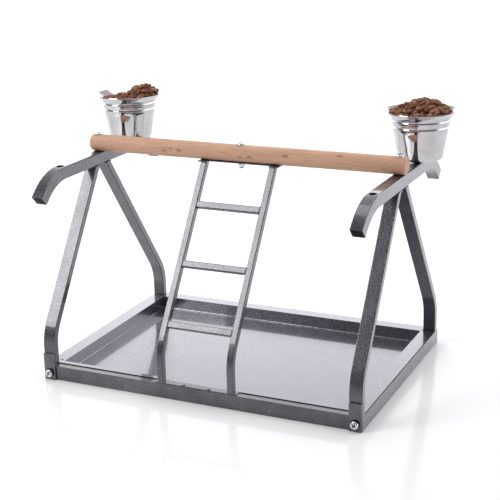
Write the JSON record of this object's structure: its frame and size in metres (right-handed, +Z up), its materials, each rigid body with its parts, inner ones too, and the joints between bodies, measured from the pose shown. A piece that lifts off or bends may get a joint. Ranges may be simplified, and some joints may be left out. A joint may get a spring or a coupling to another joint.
{
  "type": "parrot play stand",
  "caption": "Table-top bird play stand: wooden perch on two bent-tube side frames, ladder, lift-out feeding cups and a tray in the base.",
  "frame": {"origin": "on the ground, under the middle of the base", "axes": "+Z up, X along the perch, Y from the front (where the ladder's foot stands, at -Y) to the back"},
  "size_m": [0.648, 0.3962, 0.422],
  "materials": {
    "frame_paint": "glossy hammered grey powder coat",
    "tray": "glossy grey powder coat",
    "perch_wood": "smooth, lightly sealed",
    "cup_steel": "mirror-polished stainless steel",
    "black_nylon": "moulded",
    "black_plastic": "moulded",
    "zinc": "bright zinc plated"
  },
  "bodies": {
    "stand": {"base_rail_front": "frame_paint", "base_rail_rear": "frame_paint", "base_rail_left": "frame_paint", "base_rail_right": "frame_paint", "left_arm": "frame_paint", "right_arm": "frame_paint", "left_front_leg": "frame_paint", "left_rear_leg": "frame_paint", "right_front_leg": "frame_paint", "right_rear_leg": "frame_paint", "left_front_lap_plate": "frame_paint", "right_front_lap_plate": "frame_paint", "left_front_cap": "black_plastic", "left_rear_cap": "black_plastic", "right_front_cap": "black_plastic", "right_rear_cap": "black_plastic", "perch": "perch_wood", "perch_end_screws": "zinc", "perch_end_nuts": "zinc", "perch_centre_bolt": "zinc", "perch_cap_nut": "zinc", "ladder_left_rail": "frame_paint", "ladder_right_rail": "frame_paint", "ladder_lower_rung": "frame_paint", "ladder_middle_rung": "frame_paint", "ladder_upper_rung": "frame_paint", "ladder_top_plate": "frame_paint", "ladder_foot_plate": "frame_paint", "ladder_foot_rivets": "frame_paint", "corner_screws": "zinc", "corner_washers": "black_plastic", "corner_nuts": "zinc"},
    "tray": {"drip_tray": "tray"},
    "left_cup_mount": {"left_cup_spigot": "black_nylon", "left_cup_screw": "zinc"},
    "left_cup": {"left_cup": "cup_steel"},
    "right_cup_mount": {"right_cup_spigot": "black_nylon", "right_cup_screw": "zinc"},
    "right_cup": {"right_cup": "cup_steel"}
  },
  "joints": [
    {"name": "left_cup_lift", "type": "slide", "parent": "stand", "child": "left_cup_mount", "axis": [0, 0, 1], "range_m": [0, 0.06]},
    {"name": "left_cup_turn", "type": "hinge", "parent": "left_cup_mount", "child": "left_cup", "pos_m": [-0.265, 0.106, 0.344], "axis": [0, 0, 1], "continuous": true},
    {"name": "right_cup_lift", "type": "slide", "parent": "stand", "child": "right_cup_mount", "axis": [0, 0, 1], "range_m": [0, 0.06]},
    {"name": "right_cup_turn", "type": "hinge", "parent": "right_cup_mount", "child": "right_cup", "pos_m": [0.265, 0.106, 0.344], "axis": [0, 0, 1], "continuous": true},
    {"name": "tray_lift", "type": "slide", "parent": "stand", "child": "tray", "axis": [0, 0, 1], "range_m": [0, 0.04]}
  ]
}
